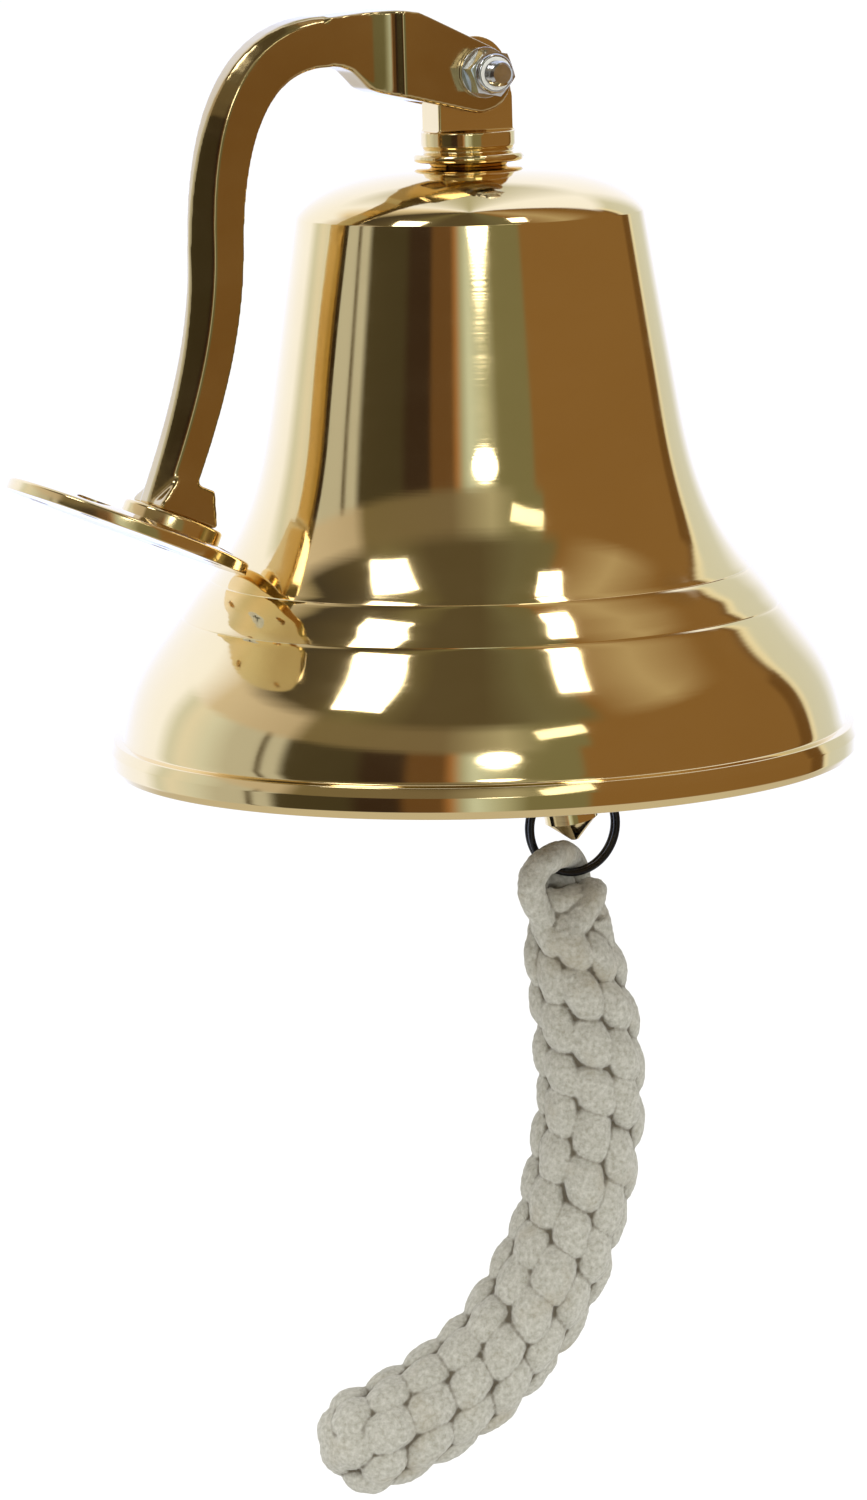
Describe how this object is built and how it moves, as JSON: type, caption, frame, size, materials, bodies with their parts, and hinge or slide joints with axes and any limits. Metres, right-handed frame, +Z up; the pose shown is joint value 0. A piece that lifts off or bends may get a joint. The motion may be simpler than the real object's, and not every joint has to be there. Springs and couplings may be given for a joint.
{
  "type": "ship bell",
  "caption": "Wall-mounted brass ship bell on a swan-neck bracket, swinging on a clevis bolt, with a clapper, a split ring and a braided rope lanyard.",
  "frame": {"origin": "Centre of the wall plate's flat back face.", "axes": "+Z up along the bell's axis, with the mouth down, and XZ the bracket's plane. +X runs from the bracket to the bell, +Y to the pivot bolt's head. The wall plate's outward normal lies in XZ, 23.7 degrees off -Z, because the bracket is stored swung in against the bell as it hangs in the picture."},
  "size_m": [0.2054, 0.178, 0.3533],
  "materials": {
    "brass": "polished and lacquered, with fine turning lines on the bell",
    "zinc": "bright zinc plating",
    "black_steel": "glossy black plating",
    "nylon": "natural nylon",
    "cotton": "braided off-white cotton cord, slightly soiled"
  },
  "bodies": {
    "bracket": {"wall_plate": "brass", "foot_collar": "brass", "foot_screw": "zinc", "bracket_arm": "brass", "pivot_bolt": "zinc", "bolt_washer": "zinc", "nut_washer": "zinc", "lock_nut": "zinc", "nylon_insert": "nylon"},
    "bell": {"bell_body": "brass", "crown_stem": "brass", "crown_washer": "brass", "crown_nut": "brass", "clapper_eye": "brass"},
    "link": {"clapper_link": "brass"},
    "clapper": {"clapper_rod": "brass", "clapper_ball": "brass", "clapper_tail": "brass"},
    "ring": {"split_ring": "black_steel"},
    "lanyard": {"lanyard_eye": "cotton", "lanyard_braid": "cotton"}
  },
  "joints": [
    {"name": "bell_swing", "type": "hinge", "parent": "bracket", "child": "bell", "pos_m": [0.08939, 0, 0.10164], "axis": [0, -1, 0], "range_deg": [0, 180]},
    {"name": "clapper_swing", "type": "hinge", "parent": "bell", "child": "link", "pos_m": [0.08939, 0, 0.04949], "axis": [0, -1, 0], "range_deg": [-34, 18]},
    {"name": "clapper_sway", "type": "hinge", "parent": "link", "child": "clapper", "pos_m": [0.09159, 0, 0.03703], "axis": [0.9848, 0, 0.1736], "range_deg": [-8, 8]},
    {"name": "ring_swing", "type": "hinge", "parent": "clapper", "child": "ring", "pos_m": [0.11041, 0, -0.06967], "axis": [0.9848, 0, 0.1736], "range_deg": [-42, 42]},
    {"name": "lanyard_slide", "type": "hinge", "parent": "ring", "child": "lanyard", "pos_m": [0.11219, 0, -0.07981], "axis": [0, -1, 0], "range_deg": [-12, 24]}
  ]
}
